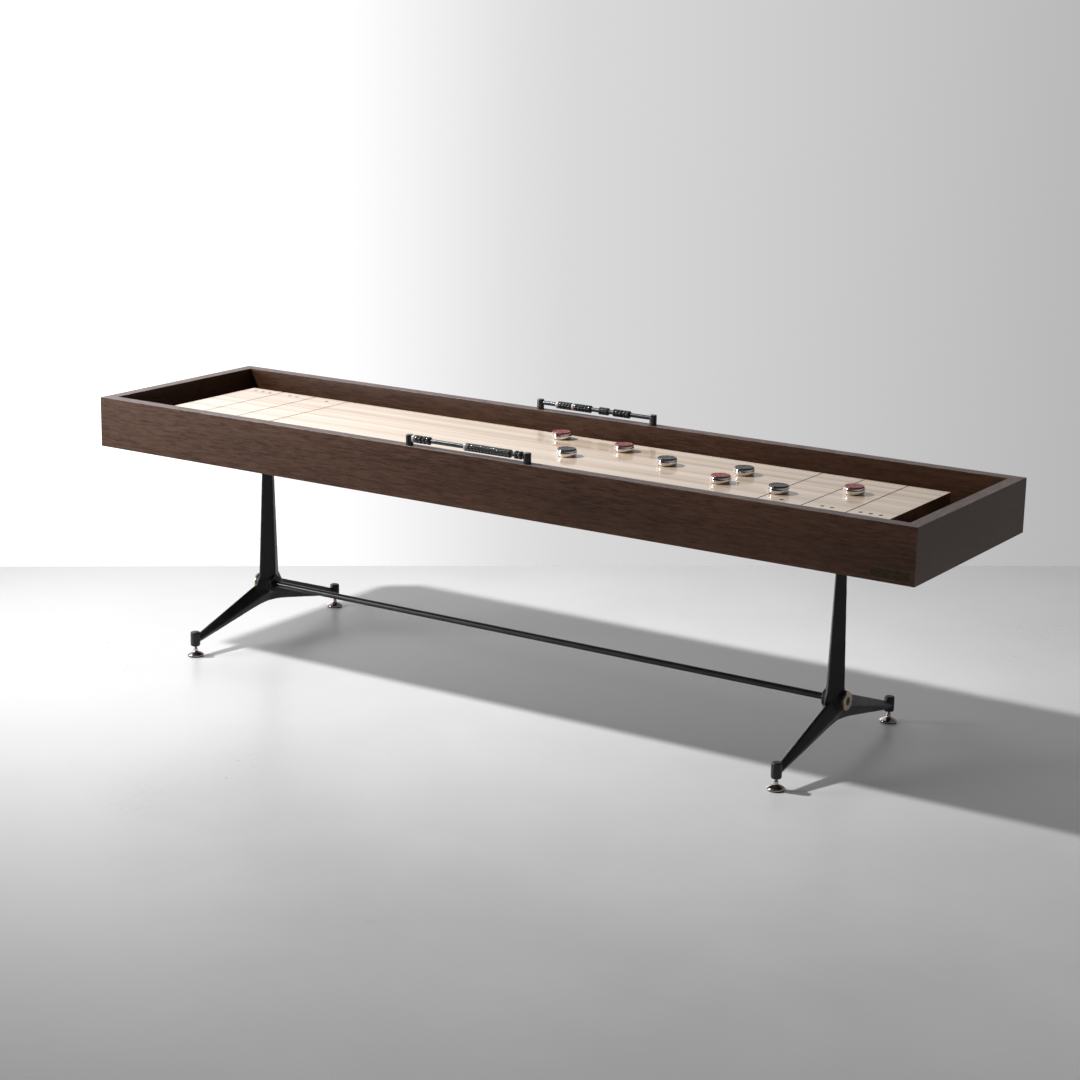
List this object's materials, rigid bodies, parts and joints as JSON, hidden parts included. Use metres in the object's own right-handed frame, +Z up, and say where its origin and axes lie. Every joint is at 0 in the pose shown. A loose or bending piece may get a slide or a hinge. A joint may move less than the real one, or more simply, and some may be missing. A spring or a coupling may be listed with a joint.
{
  "type": "shuffleboard table",
  "caption": "Long shuffleboard table: walnut cabinet with a gutter round a maple playfield, cast pedestal legs, bead scorers and sliding weights.",
  "frame": {"origin": "floor level, centre of the table's footprint", "axes": "+X along the table towards the end with the name plate, +Y across to the far long side, +Z up"},
  "size_m": [2.743, 0.7462, 0.802],
  "materials": {
    "walnut": "satin dark-stained",
    "maple": "high gloss lacquer",
    "ply": "plain",
    "casting": "satin black powder coat",
    "black_bar": "satin black",
    "brass": "brushed",
    "bronze": "antique bronze",
    "steel": "zinc plated",
    "chrome": "polished",
    "wire": "dark polished",
    "bead_dark": "gloss",
    "bead_pale": "gloss",
    "cap_red": "satin",
    "cap_black": "satin",
    "post": "satin black"
  },
  "bodies": {
    "table": {"front_rail": "walnut", "rear_rail": "walnut", "left_end_rail": "walnut", "right_end_rail": "walnut", "corner_splines": "ply", "bottom_panel": "ply", "playfield_bearers": "ply", "playfield": "maple", "playfield_screws": "steel", "leg_mounting_plates": "steel", "leg_plate_screws": "steel", "column_bolts": "steel", "left_pedestal": "casting", "right_pedestal": "casting", "stretcher_rod": "black_bar", "rod_collars": "black_bar", "hub_rings": "brass", "hub_bolts": "black_bar", "name_plate": "bronze", "name_plate_pins": "bronze", "scorer_post_studs": "steel", "front_scorer_posts": "post", "rear_scorer_posts": "post", "front_scorer_wire": "wire", "rear_scorer_wire": "wire"},
    "weight_red_1": {"weight_red_1_steel": "chrome", "weight_red_1_cap": "cap_red"},
    "weight_red_2": {"weight_red_2_steel": "chrome", "weight_red_2_cap": "cap_red"},
    "weight_red_3": {"weight_red_3_steel": "chrome", "weight_red_3_cap": "cap_red"},
    "weight_red_4": {"weight_red_4_steel": "chrome", "weight_red_4_cap": "cap_red"},
    "weight_black_1": {"weight_black_1_steel": "chrome", "weight_black_1_cap": "cap_black"},
    "weight_black_2": {"weight_black_2_steel": "chrome", "weight_black_2_cap": "cap_black"},
    "weight_black_3": {"weight_black_3_steel": "chrome", "weight_black_3_cap": "cap_black"},
    "weight_black_4": {"weight_black_4_steel": "chrome", "weight_black_4_cap": "cap_black"},
    "front_beads_left": {"front_beads_left_marker": "bead_pale", "front_beads_left_dark": "bead_dark"},
    "front_beads_middle": {"front_beads_middle_marker": "bead_pale", "front_beads_middle_dark": "bead_dark"},
    "front_beads_right": {"front_beads_right_dark": "bead_dark"},
    "rear_beads_left": {"rear_beads_left_marker": "bead_pale", "rear_beads_left_dark": "bead_dark"},
    "rear_beads_middle": {"rear_beads_middle_dark": "bead_dark"},
    "rear_beads_right": {"rear_beads_right_dark": "bead_dark"},
    "front_left_foot_pad": {"front_left_foot_pad": "chrome"},
    "front_left_foot_stem": {"front_left_foot_stem": "chrome"},
    "front_right_foot_pad": {"front_right_foot_pad": "chrome"},
    "front_right_foot_stem": {"front_right_foot_stem": "chrome"},
    "rear_left_foot_pad": {"rear_left_foot_pad": "chrome"},
    "rear_left_foot_stem": {"rear_left_foot_stem": "chrome"},
    "rear_right_foot_pad": {"rear_right_foot_pad": "chrome"},
    "rear_right_foot_stem": {"rear_right_foot_stem": "chrome"}
  },
  "joints": [
    {"name": "weight_red_1_slide", "type": "slide", "parent": "table", "child": "weight_red_1", "axis": [1, 0, 0], "range_m": [-1.193, 0.177]},
    {"name": "weight_red_2_slide", "type": "slide", "parent": "table", "child": "weight_red_2", "axis": [1, 0, 0], "range_m": [-0.177, 0.363]},
    {"name": "weight_red_3_slide", "type": "slide", "parent": "table", "child": "weight_red_3", "axis": [1, 0, 0], "range_m": [-0.456, 0.122]},
    {"name": "weight_red_4_slide", "type": "slide", "parent": "table", "child": "weight_red_4", "axis": [1, 0, 0], "range_m": [-0.286, 0.173]},
    {"name": "weight_black_1_slide", "type": "slide", "parent": "table", "child": "weight_black_1", "axis": [1, 0, 0], "range_m": [-1.335, 0.456]},
    {"name": "weight_black_2_slide", "type": "slide", "parent": "table", "child": "weight_black_2", "axis": [1, 0, 0], "range_m": [-1.624, 0.171]},
    {"name": "weight_black_3_slide", "type": "slide", "parent": "table", "child": "weight_black_3", "axis": [1, 0, 0], "range_m": [-0.171, 0.286]},
    {"name": "weight_black_4_slide", "type": "slide", "parent": "table", "child": "weight_black_4", "axis": [1, 0, 0], "range_m": [-0.122, 0.341]},
    {"name": "front_beads_left_slide", "type": "slide", "parent": "table", "child": "front_beads_left", "axis": [1, 0, 0], "range_m": [-0.0005, 0.11695]},
    {"name": "front_beads_middle_slide", "type": "slide", "parent": "table", "child": "front_beads_middle", "axis": [1, 0, 0], "range_m": [-0.11695, 0.0124]},
    {"name": "front_beads_right_slide", "type": "slide", "parent": "table", "child": "front_beads_right", "axis": [1, 0, 0], "range_m": [-0.0124, 0.0046]},
    {"name": "rear_beads_left_slide", "type": "slide", "parent": "table", "child": "rear_beads_left", "axis": [1, 0, 0], "range_m": [-0.0482, 0.02795]},
    {"name": "rear_beads_middle_slide", "type": "slide", "parent": "table", "child": "rear_beads_middle", "axis": [1, 0, 0], "range_m": [-0.02795, 0.01625]},
    {"name": "rear_beads_right_slide", "type": "slide", "parent": "table", "child": "rear_beads_right", "axis": [1, 0, 0], "range_m": [-0.01625, 0.06825]},
    {"name": "front_left_foot_height", "type": "slide", "parent": "table", "child": "front_left_foot_pad", "axis": [0, 0, 1], "range_m": [-0.012, 0.005]},
    {"name": "front_left_foot_turn", "type": "hinge", "parent": "front_left_foot_pad", "child": "front_left_foot_stem", "pos_m": [-1.008, -0.3476, 0.01], "axis": [0, 0, 1], "range_deg": [-2881, 1201]},
    {"name": "front_right_foot_height", "type": "slide", "parent": "table", "child": "front_right_foot_pad", "axis": [0, 0, 1], "range_m": [-0.012, 0.005]},
    {"name": "front_right_foot_turn", "type": "hinge", "parent": "front_right_foot_pad", "child": "front_right_foot_stem", "pos_m": [1.008, -0.3476, 0.01], "axis": [0, 0, 1], "range_deg": [-2881, 1201]},
    {"name": "rear_left_foot_height", "type": "slide", "parent": "table", "child": "rear_left_foot_pad", "axis": [0, 0, 1], "range_m": [-0.012, 0.005]},
    {"name": "rear_left_foot_turn", "type": "hinge", "parent": "rear_left_foot_pad", "child": "rear_left_foot_stem", "pos_m": [-1.008, 0.3476, 0.01], "axis": [0, 0, 1], "range_deg": [-2881, 1201]},
    {"name": "rear_right_foot_height", "type": "slide", "parent": "table", "child": "rear_right_foot_pad", "axis": [0, 0, 1], "range_m": [-0.012, 0.005]},
    {"name": "rear_right_foot_turn", "type": "hinge", "parent": "rear_right_foot_pad", "child": "rear_right_foot_stem", "pos_m": [1.008, 0.3476, 0.01], "axis": [0, 0, 1], "range_deg": [-2881, 1201]}
  ],
  "couplings": [
    {"joint": "front_left_foot_turn", "follows": "front_left_foot_height", "rad_per_m": 4188.8},
    {"joint": "front_right_foot_turn", "follows": "front_right_foot_height", "rad_per_m": 4188.8},
    {"joint": "rear_left_foot_turn", "follows": "rear_left_foot_height", "rad_per_m": 4188.8},
    {"joint": "rear_right_foot_turn", "follows": "rear_right_foot_height", "rad_per_m": 4188.8}
  ]
}
